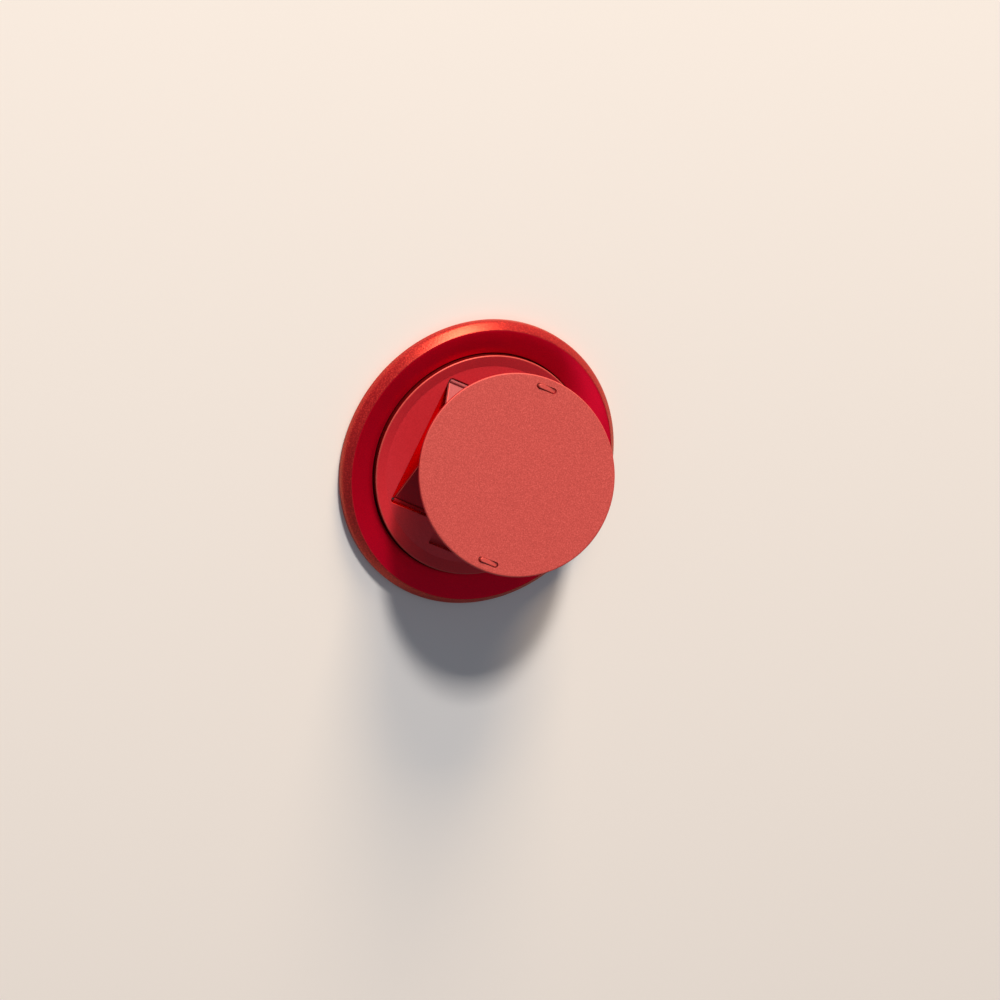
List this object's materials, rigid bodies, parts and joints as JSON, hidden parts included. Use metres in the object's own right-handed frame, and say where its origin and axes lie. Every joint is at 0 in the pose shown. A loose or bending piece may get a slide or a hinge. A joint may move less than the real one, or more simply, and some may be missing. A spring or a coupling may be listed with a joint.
{
  "type": "magnetic phone grip",
  "caption": "Flat folding phone grip: a magnet ring with a swivelling plate, crossed hinged legs and a round disc that rises and rocks above them for the fingers to hold.",
  "frame": {"origin": "centre of the flat back face, on the swivel axis", "axes": "+Z away from the back face along the swivel axis, +X along the legs' hinge axes, +Y towards the end of the plate where leg 1 is hinged"},
  "size_m": [0.0571, 0.057, 0.0241],
  "materials": {
    "soft_pad": "matt, soft",
    "steel_sheet": "plain sheet",
    "red_ring": "satin red anodising",
    "magnet": "nickel plated",
    "slip_plastic": "plain low-friction sheet",
    "red_plate": "matt red anodising",
    "red_leg": "matt red anodising",
    "red_rail": "matt red anodising",
    "red_disc": "bead-blasted red anodising",
    "steel_pin": "ground"
  },
  "bodies": {
    "base": {"back_pad": "soft_pad", "back_plate": "steel_sheet", "base_ring": "red_ring", "ring_magnets": "magnet", "shunt_ring": "steel_sheet", "lower_slip_ring": "slip_plastic", "upper_slip_ring": "slip_plastic"},
    "swivel": {"swivel_plate": "red_plate", "leg_1_hinge_pins": "steel_pin", "leg_2_hinge_pins": "steel_pin"},
    "leg_1": {"leg_1": "red_leg"},
    "leg_2": {"leg_2": "red_leg", "slider_pin_2": "steel_pin"},
    "slider": {"slider_pin_1": "steel_pin"},
    "carrier": {"carrier_rail": "red_rail", "rock_pins": "steel_pin"},
    "disc": {"top_disc": "red_disc"}
  },
  "joints": [
    {"name": "swivel", "type": "hinge", "parent": "base", "child": "swivel", "pos_m": [0, 0, 0.002], "axis": [0, 0, 1], "continuous": true},
    {"name": "fold", "type": "hinge", "parent": "swivel", "child": "leg_1", "pos_m": [0, 0.0127, 0.00219], "axis": [1, 0, 0], "range_deg": [0, 35.4]},
    {"name": "leg_2_fold", "type": "hinge", "parent": "swivel", "child": "leg_2", "pos_m": [0, -0.0127, 0.00159], "axis": [-1, 0, 0], "range_deg": [0, 20.99]},
    {"name": "pin_turn", "type": "hinge", "parent": "leg_1", "child": "slider", "pos_m": [0, -0.01143, 0.01934], "axis": [-1, 0, 0], "range_deg": [0, 20]},
    {"name": "rail_slide", "type": "slide", "parent": "slider", "child": "carrier", "axis": [0, 0.9641, -0.2656], "range_m": [0, 0.0026]},
    {"name": "disc_rock", "type": "hinge", "parent": "carrier", "child": "disc", "pos_m": [0, 0.00269, 0.01674], "axis": [0, 0.9641, -0.2656], "range_deg": [0, 14.3]}
  ],
  "couplings": [
    {"joint": "leg_2_fold", "follows": "fold", "ratio": 0.59282},
    {"joint": "pin_turn", "follows": "fold", "ratio": 0.56497},
    {"joint": "rail_slide", "follows": "fold", "m_per_rad": 0.004208},
    {"joint": "disc_rock", "follows": "fold", "ratio": 0.40395}
  ]
}
